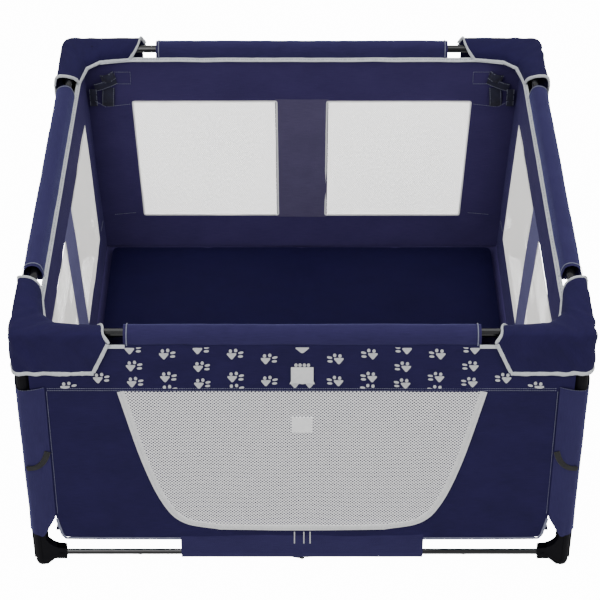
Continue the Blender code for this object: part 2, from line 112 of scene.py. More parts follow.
class Graph:
    """A short way to write a material's nodes."""

    def __init__(self, name, slot):
        self.material = bpy.data.materials.new(name)
        self.material.use_nodes = True
        self.slot = slot
        self.nodes = self.material.node_tree.nodes
        self.links = self.material.node_tree.links
        self.shader = self.nodes["Principled BSDF"]

    def node(self, kind, inputs=(), **settings):
        made = self.nodes.new("ShaderNode" + kind)
        for key, value in settings.items():
            setattr(made, key, value)
        for key, value in dict(inputs).items():
            self.put(made.inputs[key], value)
        return made

    def put(self, socket, value):
        if isinstance(value, bpy.types.NodeSocket):
            self.links.new(value, socket)
        else:
            socket.default_value = value

    def math(self, operation, a, b=0.0):
        made = self.node("Math", operation=operation)
        self.put(made.inputs[0], a)
        self.put(made.inputs[1], b)
        return made.outputs[0]

    def mix(self, factor, a, b):
        made = self.node("Mix", data_type="RGBA")
        self.put(made.inputs["Factor"], factor)
        self.put(made.inputs[6], a)
        self.put(made.inputs[7], b)
        return made.outputs[2]

    def uv(self):
        return self.node("UVMap", uv_map="UVMap").outputs["UV"]

    def noise(self, vector, scale, detail=3.0, rough=0.5):
        made = self.node("TexNoise", {"Vector": vector, "Scale": scale, "Detail": detail, "Roughness": rough})
        return made.outputs["Fac"]

    def set(self, **values):
        for key, value in values.items():
            self.put(self.shader.inputs[key.replace("_", " ")], value)


def scaled(g, vector, x, y, z=1.0):
    return g.node("VectorMath", {0: vector, 1: (x, y, z)}, operation="MULTIPLY").outputs[0]


def weave_height(g, uv, pitch):
    """An oxford weave: the product of two sines across the cloth."""
    parts = g.node("SeparateXYZ", {0: uv})
    turnrate = 2 * math.pi / pitch
    a = g.math("SINE", g.math("MULTIPLY", parts.outputs[0], turnrate))
    b = g.math("SINE", g.math("MULTIPLY", parts.outputs[1], turnrate))
    return g.math("MULTIPLY", a, b)


def cloth(name, slot, light, dark, pitch=0.0022, sheen=0.25, rough=0.82, slub=0.5):
    """Woven polyester: two thread colours, slubs along the threads, soft mottling, sheen and a weave bump."""
    g = Graph(name, slot)
    uv = g.uv()
    weave = weave_height(g, uv, pitch)
    slubs = g.noise(scaled(g, uv, 35.0, 700.0), 1.0, 2.0)
    mottle = g.noise(scaled(g, uv, 9.0, 14.0), 1.0, 4.0, 0.6)
    shade = g.math("ADD", g.math("MULTIPLY", slubs, slub), g.math("MULTIPLY", mottle, 1.0 - slub))
    shade = g.math("ADD", shade, g.math("MULTIPLY", weave, 0.10))
    ramp = g.node("MapRange", {"Value": shade, "From Min": 0.32, "From Max": 0.68})
    g.set(Base_Color=g.mix(ramp.outputs[0], rgb(dark), rgb(light)), Roughness=rough,
          Sheen_Weight=sheen, Sheen_Roughness=0.45)
    g.shader.inputs["Specular IOR Level"].default_value = 0.12
    g.shader.inputs["Sheen Tint"].default_value = rgb("#8f92d8")
    fine = g.node("Bump", {"Height": weave, "Strength": 0.35, "Distance": 0.0004})
    wrinkle = g.noise(scaled(g, uv, 6.0, 9.0), 1.0, 3.0, 0.5)
    soft = g.node("Bump", {"Height": wrinkle, "Strength": 0.35, "Distance": 0.010,
                           "Normal": fine.outputs[0]})
    g.set(Normal=soft.outputs[0])
    return g


def netting(name, slot, thread, pitch, hole, painted_glow):
    """Knitted mesh: round holes in diagonal rows, cut out of the sheet; glow is painted light, an emission of the
    thread colour.
    """
    g = Graph(name, slot)
    turned = g.node("VectorRotate", {"Vector": g.uv(), "Angle": math.radians(45)}, rotation_type="Z_AXIS")
    cells = g.node("TexVoronoi", {"Vector": turned.outputs[0], "Scale": 1 / pitch, "Randomness": 0.0},
                   feature="F1", voronoi_dimensions="2D")
    distance = cells.outputs["Distance"]
    solid = g.node("MapRange", {"Value": distance, "From Min": hole - 0.04, "From Max": hole + 0.04})
    tone = g.noise(scaled(g, g.uv(), 40.0, 40.0), 1.0, 2.0)
    g.set(Base_Color=g.mix(tone, rgb(thread), rgb("#f4f4f4")), Roughness=0.6, Alpha=solid.outputs[0],
          Sheen_Weight=0.1, Emission_Color=rgb(thread), Emission_Strength=painted_glow)
    bump = g.node("Bump", {"Height": distance, "Strength": 0.5, "Distance": 0.0006})
    g.set(Normal=bump.outputs[0])
    return g


def webbing(name, slot, light, dark, pitch=0.0016, painted_glow=0.0):
    """Woven tape: fine ribs across its length, small wear spots; glow is painted light, an emission of the light
    colour.
    """
    g = Graph(name, slot)
    uv = g.uv()
    parts = g.node("SeparateXYZ", {0: uv})
    ribs = g.math("SINE", g.math("MULTIPLY", parts.outputs[0], 2 * math.pi / pitch))
    wear = g.noise(scaled(g, uv, 60.0, 60.0), 1.0, 3.0, 0.6)
    shade = g.math("ADD", wear, g.math("MULTIPLY", ribs, 0.08))
    ramp = g.node("MapRange", {"Value": shade, "From Min": 0.3, "From Max": 0.7})
    g.set(Base_Color=g.mix(ramp.outputs[0], rgb(dark), rgb(light)), Roughness=0.75, Sheen_Weight=0.2,
          Emission_Color=rgb(light), Emission_Strength=painted_glow)
    bump = g.node("Bump", {"Height": ribs, "Strength": 0.4, "Distance": 0.0004})
    g.set(Normal=bump.outputs[0])
    return g


def hard(name, slot, colour, rough, metallic=0.0, grain=900.0, depth=0.00006, worn="#55565c",
         gloss_level=0.5):
    """Moulded plastic or coated steel: fine grain, uneven gloss, slightly worn edges."""
    g = Graph(name, slot)
    place = g.node("NewGeometry").outputs["Position"]
    fine = g.noise(place, grain, 2.0)
    broad = g.noise(place, 22.0, 4.0, 0.6)
    edge = g.node("NewGeometry").outputs["Pointiness"]
    worn_share = g.node("MapRange", {"Value": edge, "From Min": 0.53, "From Max": 0.62, "To Max": 0.35})
    spread = g.math("MULTIPLY", worn_share.outputs[0], broad)
    gloss = g.node("MapRange", {"Value": broad, "To Min": rough - 0.07, "To Max": rough + 0.09})
    g.set(Base_Color=g.mix(spread, rgb(colour), rgb(worn)), Roughness=gloss.outputs[0], Metallic=metallic,
          Specular_IOR_Level=gloss_level)
    bump = g.node("Bump", {"Height": fine, "Strength": 0.3, "Distance": depth})
    g.set(Normal=bump.outputs[0])
    return g


NAVY = cloth("navy_oxford", "navy_fabric", "#2b2553", "#221d43", sheen=0.10)
# A lighter copy of the navy cloth for the inner walls and the floor cloth: painted light inside the yard.
NAVY_INNER_PAINTED_LIGHT = cloth("navy_oxford_inner_painted_light", "navy_fabric", "#433a6a", "#39325d", sheen=0.10)
# A lighter copy of the navy cloth for the padded sleeves: painted light on their rounded tops.
NAVY_SLEEVE_PAINTED_LIGHT = cloth("navy_padded_painted_light", "navy_fabric", "#37315f", "#2c274f", sheen=0.5)
# Lighter copies of the navy cloth for the columns between the windows, lighter still on the side walls: painted
# light.
NAVY_COLUMN_PAINTED_LIGHT = cloth("navy_column_painted_light", "navy_fabric", "#5f587a", "#534c6b", sheen=0.1)
NAVY_SIDE_COLUMN_PAINTED_LIGHT = cloth("navy_side_column_painted_light", "navy_fabric", "#7d7aa6", "#6d6b96", sheen=0.1)
MAT_CLOTH = cloth("mat_oxford", "mat_fabric", "#140e3b", "#100b32", pitch=0.003, sheen=0.05)
# The window and door mesh glow with their thread colour: painted light through the mesh.
MESH = netting("window_mesh", "white_mesh", "#f0eeea", 0.0036, 0.17, 0.65)
DOOR_MESH = netting("door_mesh", "white_mesh", "#eeeef0", 0.0056, 0.38, 0.42)
# The trim and patch glow a little: painted light on the pale tape.
TRIM = webbing("pale_trim", "white_mesh", "#f6f6f6", "#e6e7e8", painted_glow=0.12)
PATCH = webbing("pale_patch", "white_mesh", "#ffffff", "#f2f2f4", painted_glow=0.25)
PIPING = webbing("pale_piping", "white_mesh", "#eaeef2", "#d4d9de", 0.003)
THREAD = webbing("pale_thread", "white_mesh", "#8d90a8", "#70738c")
PRINT = webbing("paw_print", "white_mesh", "#e6e7ea", "#d6d7db", 0.002)
DARK_WEB = webbing("dark_webbing", "navy_fabric", "#1a1c38", "#10112a")
BLACK_WEB = webbing("black_webbing", "black_plastic", "#050509", "#030305")
BLACK_TUBE = hard("black_tube", "black_tube", "#08080b", 0.16, 0.2, 500.0, 0.00001, "#3a3b40", gloss_level=1.0)
BLACK_PLASTIC = hard("black_plastic", "black_plastic", "#08070e", 0.6, worn="#15151c", gloss_level=0.15)
GREY_RUBBER = hard("grey_rubber", "grey_rubber", "#7d7d80", 0.7, 0.0, 600.0, 0.0001, "#9a9a9c")
BUTTON = hard("latch_button", "latch_button", "#24242a", 0.35)
STEEL = hard("rivet_steel", "grey_rubber", "#b8bbc0", 0.25, 0.9, 800.0, 0.00003, "#e0e0e0")


# ---------------------------------------------------------------- mesh building

def finished(bm, name, graph, matrix=None, smooth=True, solid=0.0, solid_offset=-1.0, even=True):
    """The bmesh as an object with its modifiers applied and its material set."""
    if matrix:
        bm.transform(matrix)
    mesh = bpy.data.meshes.new(name)
    bm.to_mesh(mesh)
    bm.free()
    obj = bpy.data.objects.new(name, mesh)
    bpy.context.scene.collection.objects.link(obj)
    if solid:
        step = obj.modifiers.new("solid", "SOLIDIFY")
        step.thickness, step.offset, step.use_even_offset = solid, solid_offset, even
        applied(obj)
    for face in obj.data.polygons:
        face.use_smooth = smooth
    if smooth:
        obj.data.set_sharp_from_angle(angle=math.radians(50))
    obj.data.materials.clear()
    obj.data.materials.append(graph.material)
    return obj


def applied(obj):
    """The object's mesh becomes what its modifiers make."""
    graph = bpy.context.evaluated_depsgraph_get()
    made = bpy.data.meshes.new_from_object(obj.evaluated_get(graph))
    old = obj.data
    obj.modifiers.clear()
    obj.data = made
    bpy.data.meshes.remove(old)


def uv_layer(bm):
    return bm.loops.layers.uv.get("UVMap") or bm.loops.layers.uv.new("UVMap")


def lay_uv(bm, place):
    """Lays the metric UVs place(vertex) on every face."""
    layer = uv_layer(bm)
    for face in bm.faces:
        for loop in face.loops:
            loop[layer].uv = place(loop.vert)


def closed_curve(points, per):
    """A closed Catmull-Rom curve through points, with per steps between neighbours."""
    n = len(points)
    out = []
    for i in range(n):
        p = [Vector(points[(i + k) % n]) for k in (-1, 0, 1, 2)]
        out += [spline_point(p, k / per) for k in range(per)]
    return out


def open_curve(points, per):
    """An open Catmull-Rom curve through points."""
    ends = [Vector(points[0]) * 2 - Vector(points[1]), *map(Vector, points),
            Vector(points[-1]) * 2 - Vector(points[-2])]
    out = []
    for i in range(len(points) - 1):
        out += [spline_point(ends[i:i + 4], k / per) for k in range(per)]
    return out + [Vector(points[-1])]


def spline_point(p, t):
    a, b = p[1], (p[2] - p[0]) / 2
    c = p[0] - 2.5 * p[1] + 2 * p[2] - 0.5 * p[3]
    d = 1.5 * (p[1] - p[2]) + (p[3] - p[0]) / 2
    return a + t * (b + t * (c + t * d))


def loft(sections, closed=True, caps=False):
    """A skin over rows of points of equal count, with metric UVs: along the rows, then around them."""
    bm = bmesh.new()
    rows = [[bm.verts.new(p) for p in section] for section in sections]
    layer = uv_layer(bm)
    count = len(rows[0])
    along = 0.0
    for first, second in zip(rows, rows[1:]):
        step = (second[0].co - first[0].co).length
        around = 0.0
        for k in range(count if closed else count - 1):
            m = (k + 1) % count
            width = (first[m].co - first[k].co).length
            face = bm.faces.new((first[k], first[m], second[m], second[k]))
            spots = ((along, around), (along, around + width), (along + step, around + width),
                     (along + step, around))
            for loop, spot in zip(face.loops, spots):
                loop[layer].uv = spot
            around += width
        along += step
    if caps:
        bm.faces.new(reversed(rows[0]))
        bm.faces.new(rows[-1])
    bmesh.ops.recalc_face_normals(bm, faces=bm.faces)
    return bm


def sheet_mesh(outline, holes, shape, cell):
    """A sheet cut to outline, less its holes, cut into cells of that size and laid where shape(x, y) says."""
    bm = bmesh.new()
    edges = []
    for ring in (outline, *holes):
        verts = [bm.verts.new((x, y, 0)) for x, y in ring]
        edges += [bm.edges.new((a, b)) for a, b in zip(verts, verts[1:] + verts[:1])]
    bmesh.ops.triangle_fill(bm, use_beauty=True, use_dissolve=True, edges=edges, normal=(0, 0, 1))
    xs = [x for x, y in outline]
    ys = [y for x, y in outline]
    for axis, low, high in ((0, min(xs), max(xs)), (1, min(ys), max(ys))):
        count = max(1, math.ceil((high - low) / cell))
        for k in range(1, count):
            at, normal = Vector((0, 0, 0)), Vector((0, 0, 0))
            at[axis] = low + (high - low) * k / count
            normal[axis] = 1
            bmesh.ops.bisect_plane(bm, geom=bm.verts[:] + bm.edges[:] + bm.faces[:], plane_co=at,
                                   plane_no=normal, dist=1e-6)
    lay_uv(bm, lambda v: (v.co.x, v.co.y))
    for v in bm.verts:
        v.co = shape(v.co.x, v.co.y)
    bmesh.ops.recalc_face_normals(bm, faces=bm.faces)
    return bm


def area_of(outline, holes=()):
    """The area inside outline, less its holes."""
    def one(ring):
        return abs(sum(a[0] * b[1] - b[0] * a[1] for a, b in zip(ring, ring[1:] + ring[:1]))) / 2
    return one(outline) - sum(one(h) for h in holes)


def strip_mesh(path, half, thick, lift=None, closed=False):
    """A flat tape along path: path is (point, across, out) triples."""
    sections = []
    for k, (point, across, out) in enumerate(path):
        swell = 1.0 + (lift(k) if lift else 0.0)
        a, o = across * half, out * thick * swell
        sections.append([point - a, point - a * 0.85 + o * 0.8, point + o, point + a * 0.85 + o * 0.8,
                         point + a, point - o * 0.15])
    if closed:
        sections.append(sections[0])
    return loft(sections, caps=not closed)


def tube_mesh(points, radius, sides=10, wobble=0.0, flat=1.0):
    """A round cord along points, flattened by flat."""
    sections = []
    count = len(points)
    for k, p in enumerate(points):
        along = (points[min(k + 1, count - 1)] - points[max(k - 1, 0)]).normalized()
        side = along.cross(Vector((0, 0, 1)))
        side = side.normalized() if side.length > 0.05 else Vector((1, 0, 0))
        up = side.cross(along).normalized()
        r = radius * (1 + wobble * noise.noise(p * 130.0))
        sections.append([p + side * r * flat * math.cos(t) + up * r * math.sin(t)
                         for t in (2 * math.pi * i / sides for i in range(sides))])
    return loft(sections, caps=True)


def dash(bm, start, end, out, width=0.0011, high=0.0007):
    """One stitch: a small raised bar between two points."""
    along = (end - start).normalized()
    across = along.cross(out).normalized() * width / 2
    up = out.normalized() * high
    low = [start - across, start + across, end + across, end - across]
    top = [p + up for p in ((start - across * 0.6) + along * width * 0.4,
                            (start + across * 0.6) + along * width * 0.4,
                            (end + across * 0.6) - along * width * 0.4,
                            (end - across * 0.6) - along * width * 0.4)]
    a = [bm.verts.new(p - up * 0.4) for p in low]
    b = [bm.verts.new(p) for p in top]
    bm.faces.new(reversed(a))
    bm.faces.new(b)
    for k in range(4):
        m = (k + 1) % 4
        bm.faces.new((a[k], a[m], b[m], b[k]))


def stitches(name, paths, out, matrix, pitch=0.0048, length=0.0034, width=0.0011, graph=None):
    """Rows of stitches along paths of points, standing off along out."""
    bm = bmesh.new()
    for path in paths:
        points = [Vector(p) for p in path]
        left = 0.0
        for a, b in zip(points, points[1:]):
            span = (b - a).length
            at = left
            while at + length <= span:
                dash(bm, a.lerp(b, at / span), a.lerp(b, (at + length) / span), Vector(out), width)
                at += pitch
            left = max(0.0, at - span)
    bmesh.ops.recalc_face_normals(bm, faces=bm.faces)
    lay_uv(bm, lambda v: (v.co.x + v.co.y, v.co.z))
    return finished(bm, name, graph or THREAD, matrix, smooth=False)


def arc_between(corners, radius, steps=5):
    """The polygon with its corners rounded to radius."""
    out = []
    n = len(corners)
    for k in range(n):
        before, here, after = (Vector(corners[(k + d) % n]) for d in (-1, 0, 1))
        a, b = (before - here).normalized(), (after - here).normalized()
        reach = min(radius, (before - here).length * 0.45, (after - here).length * 0.45)
        start, end = here + a * reach, here + b * reach
        for i in range(steps + 1):
            t = i / steps
            p = start * (1 - t) ** 2 + here * 2 * t * (1 - t) + end * t ** 2
            out.append((p.x, p.y))
    return out


def fold_with(obj, side):
    """The piece rides its wall's body and takes a mesh of its own."""
    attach(obj, WALL_BODY[side])
    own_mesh(obj)


def rail_half(side, level, sign):
    """The body of the rail half at that end of a side."""
    first = (turn(side) @ Vector((sign, 0, 0))).dot(Vector(FOLD_AXIS[side])) < 0
    return f"{side}_{level}_{'first' if first else 'second'}"


def tape_path(spots):
    """The triples of strip_mesh for a flat tape that faces the front."""
    path = []
    for k, p in enumerate(spots):
        along = (spots[min(k + 1, len(spots) - 1)] - spots[max(k - 1, 0)]).normalized()
        path.append((p, Vector((along.z, 0, -along.x)), Vector((0, -1, 0))))
    return path


def bend_with(obj):
    """The piece's placement is baked into its mesh."""
    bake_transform(obj)


# ---------------------------------------------------------------- panels and walls

WINDOW_IN, WINDOW_OUT = 0.0655, 0.4400
WINDOW_LOW, WINDOW_HIGH = 0.175, 0.518
OUTER_WINDOW = (0.058, 0.455, 0.108, 0.500)   # near, far, low, high: the outer layer's larger openings
BAND_SEAM_Z = 0.5288
DOOR_EDGE = [(-0.3905, 0.5193), (-0.3485, 0.3233), (-0.3082, 0.1979), (-0.2638, 0.1393),
             (-0.1834, 0.1186), (0.1834, 0.1186), (0.2638, 0.1393), (0.3082, 0.1979),
             (0.3485, 0.3233), (0.3905, 0.5193)]


def door_outline(inset):
    """The door's edge as a smooth line, pulled in by inset."""
    left = open_curve([Vector(p).to_3d() for p in DOOR_EDGE[:5]], 6)
    bottom = [Vector((x, 0.1186 - 0.0029 * math.cos(x / 0.1834 * math.pi / 2), 0))
              for x in (-0.122, -0.061, 0.0, 0.061, 0.122)]
    ring = left + bottom + [Vector((-p.x, p.y, 0)) for p in reversed(left)]
    out = []
    for k, p in enumerate(ring):
        before, after = ring[max(k - 1, 0)], ring[min(k + 1, len(ring) - 1)]
        along = (after - before).normalized()
        inward = Vector((-along.y, along.x, 0))
        out.append(p + inward * inset)
    return [(p.x, p.y) for p in out]


def sag(x, z, seed, amount=0.0022):
    """Slack of hanging cloth: broad soft waves."""
    return amount * noise.noise(Vector((x * 5.0, z * 4.0, seed))) + \
        amount * 0.4 * noise.noise(Vector((x * 16.0, z * 3.0, seed + 9)))


def outer_shape(seed):
    """Lays a point of the outer layer, held at its top and bottom edges."""
    def shape(x, z):
        hold = min(1.0, max(0.0, (SEAM_Z - z) / 0.03)) * min(1.0, max(0.0, (z - 0.088) / 0.02))
        return Vector((x, -(PANEL + sag(x, z, seed) * hold), z))
    return shape


def inner_v(z):
    """How far the inner layer is from the middle at height z: it leans in towards the mat."""
    share = min(1.0, max(0.0, (SEAM_IN_Z - z) / (SEAM_IN_Z - MAT_TOP)))
    return INNER + (INNER_FOOT - INNER) * share ** 0.8


def inner_shape(seed):
    """Lays a point of the inner layer, held at the piping and at the mat."""
    def shape(x, z):
        v = inner_v(z)
        hold = min(1.0, max(0.0, (SEAM_IN_Z - z) / 0.05)) * min(1.0, max(0.0, (z - MAT_TOP) / 0.03))
        gather = (v + 0.0015) / INNER_EDGE
        return Vector((x * gather, -(v + sag(x, z, seed, 0.003) * hold), z))
    return shape


def wall_outline(side):
    """The outer layer, from corner sleeve to corner sleeve; only the front's closes the gap under the rail."""
    half = [(0.0, HEM_Z), (HEM_HALF, HEM_Z), (0.500, 0.0900), (0.5315, 0.0948), (0.5400, 0.1200),
            (0.5456, 0.1511), (0.5570, 0.200), (0.5570, 0.500), (0.5740, 0.515), (0.5740, SEAM_Z)]
    if side != "front":
        half += [(0.4080, SEAM_Z), (0.4060, 0.6000), (0.3760, 0.6000), (0.3740, SEAM_Z)]
    return half + [(-x, z) for x, z in reversed(half[1:])]


def windows(near=WINDOW_IN, far=WINDOW_OUT, low=WINDOW_LOW, high=WINDOW_HIGH):
    """Two openings, mirrored about the middle of the wall."""
    right = arc_between([(near, low), (far, low), (far, high), (near, high)], 0.004, 2)
    return [right, [(-x, z) for x, z in reversed(right)]]


def build_wall(side, seed):
    """Both layers of one wall with its mesh, edges, hem and stitching."""
    m = turn(side)
    made = []
    outline = wall_outline(side)
    holes = [door_outline(0.004)] if side == "front" else windows(*OUTER_WINDOW)
    outer = finished(sheet_mesh(outline, holes, outer_shape(seed), 0.018), f"{side}_outer_panel", NAVY, m,
                     solid=CLOTH)
    area_of(outline, holes)
    made.append(outer)
    foot = MAT_TOP - 0.004
    inner_outline = [(-INNER_EDGE, foot), (INNER_EDGE, foot), (INNER_EDGE, 0.60), (0.512, SEAM_IN_Z),
                     (-0.512, SEAM_IN_Z), (-INNER_EDGE, 0.60)]
    inner_holes = [door_outline(-0.002)] if side == "front" else windows()
    inner = finished(sheet_mesh(inner_outline, inner_holes, inner_shape(seed + 3), 0.018),
                     f"{side}_inner_panel", NAVY_INNER_PAINTED_LIGHT, m, solid=CLOTH)
    area_of(inner_outline, inner_holes)
    made.append(inner)
    if side != "front":
        for k, ring in enumerate(inner_holes):
            tag = "ab"[k]
            mesh = finished(sheet_mesh(ring, [], inner_shape(seed + 3), 0.02),
                            f"{side}_window_mesh_{tag}", MESH, m @ Matrix.Translation((0, 0.0012, 0)),
                            solid=NET)
            made.append(mesh)
            place = inner_shape(seed + 3)
            path = [(place(x, z) + Vector((0, 0.0012, 0)),
                     (Vector((ring[(i + 1) % len(ring)][1] - ring[i - 1][1], 0,
                              -(ring[(i + 1) % len(ring)][0] - ring[i - 1][0])))).normalized(),
                     Vector((0, 1, 0))) for i, (x, z) in enumerate(ring)]
            edge = finished(strip_mesh(path, 0.0022, 0.0010, closed=True), f"{side}_window_edge_{tag}",
                            TRIM, m)
            made.append(edge)
        column_outline = [(-WINDOW_IN - 0.004, WINDOW_LOW - 0.006), (WINDOW_IN + 0.004, WINDOW_LOW - 0.006),
                          (WINDOW_IN + 0.004, WINDOW_HIGH + 0.006), (-WINDOW_IN - 0.004, WINDOW_HIGH + 0.006)]
        # The column takes a lighter copy of the navy cloth: painted light, lighter on the side walls than on the
        # back.
        shade = NAVY_COLUMN_PAINTED_LIGHT if side == "back" else NAVY_SIDE_COLUMN_PAINTED_LIGHT
        column = finished(sheet_mesh(column_outline, [], inner_shape(seed + 3), 0.02), f"{side}_column",
                          shade, m @ Matrix.Translation((0, 0.0014, 0)), solid=CLOTH)
        made.append(column)
    hem = outline[1:6]
    for sign, tag in ((1, "b"), (-1, "a")):
        place = outer_shape(seed)
        spots = open_curve([Vector((sign * x, z, 0)) for x, z in hem], 4)
        path = []
        for i, p in enumerate(spots):
            q, r = spots[max(i - 1, 0)], spots[min(i + 1, len(spots) - 1)]
            along = (r - q).normalized()
            path.append((place(p.x, p.y) + Vector((0, -0.0006, 0)), Vector((-along.y, 0, along.x)),
                         Vector((0, -1, 0))))
        made.append(finished(strip_mesh(path, 0.0032, 0.0016), f"{side}_hem_binding_{tag}", THREAD, m))
    face = -(PANEL + 0.0006)
    rows = [[(-0.538, face, z), (0.538, face, z)] for z in (BAND_SEAM_Z, BAND_SEAM_Z - 0.0055)]
    sides = [[(s * 0.5395, face, 0.520), (s * 0.5425, face, 0.165)] for s in (-1, 1)]
    made.append(stitches(f"{side}_band_stitching", rows + sides, (0, -1, 0), m))
    inner_low = -(inner_v(WINDOW_LOW) - 0.002)
    inside = [[(s * 0.500, inner_low, 0.177), (s * (WINDOW_OUT + 0.003), inner_low, 0.183)] for s in (-1, 1)]
    made.append(stitches(f"{side}_inner_stitching", inside, (0, 1, 0), m, width=0.0009))
    for piece in made:
        fold_with(piece, side)
    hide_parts(f"{side}_wall")


# ---------------------------------------------------------------- rail sleeves and hem sleeves

SLEEVE_RING = [(0.5625, 0.6385), (0.5610, 0.6500), (0.5640, 0.6630), (0.5690, 0.6722), (0.5800, 0.6768),
               (0.5935, 0.6738), (0.6022, 0.6650), (0.6055, 0.6535), (0.6045, 0.6440), (0.5960, 0.6400),
               (0.5780, 0.6385)]


def build_sleeve(side, seed):
    """The padded cover of a top rail, a closed tube of fabric open at both ends."""
    m = turn(side)
    ring = closed_curve([Vector((0, -v, z)) for v, z in SLEEVE_RING], 5)
    centre = sum(ring, Vector()) / len(ring)
    sections = []
    steps = 74
    for k in range(steps + 1):
        u = -SLEEVE_HALF + 2 * SLEEVE_HALF * k / steps
        near_end = min(1.0, (SLEEVE_HALF - abs(u)) / 0.02)
        section = []
        for p in ring:
            out = (p - centre).normalized()
            wave = 0.0010 * noise.noise(Vector((u * 9 + seed, p.y * 40, p.z * 40)))
            wave += 0.0005 * noise.noise(Vector((u * 34 + seed, p.y * 60, p.z * 60)))
            section.append(Vector((u, p.y, min(p.z, 0.6768))) + out * (wave - 0.0006 * (1 - near_end)))
        sections.append(section)
    sleeve = finished(loft(sections), f"{side}_sleeve", NAVY_SLEEVE_PAINTED_LIGHT, m, solid=0.0014)
    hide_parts(f"{side}_rail_sleeve")
    bend_with(sleeve)
    for sign in (-1, 1):
        at = sign * (SLEEVE_HALF - 0.007)
        path = []
        for p in ring:
            out = (p - centre).normalized()
            path.append((Vector((at, p.y, p.z)) + out * 0.0012, Vector((1, 0, 0)), out))
        line = finished(strip_mesh(path, 0.0013, 0.0009, closed=True), f"{side}_sleeve_line_{'ab'[sign > 0]}",
                        THREAD, m)
        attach(line, rail_half(side, "top", sign))


def build_hem_sleeve(side, seed):
    """The loop of the hem that takes the bottom rail: a flat tube from the panel's edge down round the rail."""
    m = turn(side)
    ring = closed_curve([Vector((0, -v, z)) for v, z in (
        (0.5905, 0.0560), (0.5890, 0.0420), (0.5920, 0.0310), (0.5990, 0.0272), (0.6070, 0.0300),
        (0.6100, 0.0420), (0.6095, 0.0580), (0.6080, 0.0880), (0.6050, 0.1010), (0.6030, 0.0900),
        (0.5990, 0.0680), (0.5940, 0.0610))], 4)
    steps = 54
    sections = []
    for k in range(steps + 1):
        u = -HEM_HALF + 2 * HEM_HALF * k / steps
        middle = math.exp(-(u / 0.018) ** 2)
        section = []
        for p in ring:
            wave = 0.0008 * noise.noise(Vector((u * 12 + seed, p.y * 50, p.z * 30)))
            low = 0.0016 * middle if p.z < 0.034 else 0.0
            section.append(Vector((u, p.y + wave, p.z - low)))
        sections.append(section)
    sleeve = finished(loft(sections), f"{side}_hem_sleeve", NAVY_SLEEVE_PAINTED_LIGHT, m, solid=0.0009)
    bend_with(sleeve)


# ---------------------------------------------------------------- corners

def build_post_sleeve(name, angle):
    """The fabric round a corner post, laid flat against both walls and pulled to a point at its foot."""
    # It is made for the corner at +x, -y. around runs from the front wall's seam to the side wall's.
    m = Matrix.Rotation(angle, 4, "Z")
    corner, radius = 0.6035, 0.0165
    levels = [0.098 + (0.532 - 0.098) * k / 30 for k in range(31)]
    around = [-1 + 2 * k / 24 for k in range(25)]
    rows = []
    for z in levels:
        row = []
        for t in around:
            a = abs(t)
            seam = 0.5473 - (z - 0.157) / (0.53 - 0.157) * 0.0042 if z > 0.157 else \
                0.5473 + (0.157 - z) / 0.059 * 0.030
            flat_run = corner - radius - seam
            arc = radius * math.pi / 4
            reach = a * (flat_run + arc)
            if reach > arc:
                x = corner - radius - (reach - arc)
                y = PANEL + 0.0012 + 0.0030 * math.sin(math.pi * min(1.0, (reach - arc) / max(flat_run, 0.001)))
            else:
                phi = reach / radius
                x = corner - radius + radius * 1.18 * math.sin(math.pi / 4 - phi)
                y = corner - radius + radius * 1.18 * math.cos(math.pi / 4 - phi)
            y += 0.0016 * noise.noise(Vector((x * 20, z * 9, angle + 2))) * 0.6
            row.append(Vector((x, -y, z)) if t < 0 else Vector((y, -x, z)))
        rows.append(row)
    top_dip = [0.013 * (1 - abs(t)) ** 1.2 for t in around]
    for j, row in enumerate(rows):
        share = j / (len(rows) - 1)
        for k, p in enumerate(row):
            p.z -= top_dip[k] * share ** 3
    sleeve = finished(loft(rows, closed=False), f"{name}_post_sleeve_cover", NAVY_SLEEVE_PAINTED_LIGHT, m, solid=0.0010,
                      solid_offset=1.0)
    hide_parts(f"post_sleeve_{name}")
    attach(sleeve, f"post_{name}")
    lines = [[row[at] for row in rows[2:]] for at in (1, len(around) - 2)] + [rows[-1]]
    thread = stitches(f"{name}_post_sleeve_stitching", lines, (0.7, -0.7, 0), m, width=0.0010)
    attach(thread, f"post_{name}")


CORNERS = {"front_right": 0.0, "back_right": math.pi / 2, "back_left": math.pi, "front_left": -math.pi / 2}


def along_line(points, share):
    """The point that share of the way along a polyline."""
    spans = [(q - p).length for p, q in zip(points, points[1:])]
    left = share * sum(spans)
    for p, q, span in zip(points, points[1:], spans):
        if left <= span:
            return p.lerp(q, left / span)
        left -= span
    return points[-1].copy()


COVER_PROFILE = [  # (share of the way inward, height): from the inner hem, over the top, to the outer hem
    (1.00, 0.6385), (0.99, 0.6500), (0.93, 0.6600), (0.78, 0.6690), (0.52, 0.6755),
    (0.22, 0.6770), (0.06, 0.6735), (0.005, 0.6630), (0.00, 0.6480), (0.00, 0.6250), (0.00, 0.6000),
    (0.00, 0.5760)]


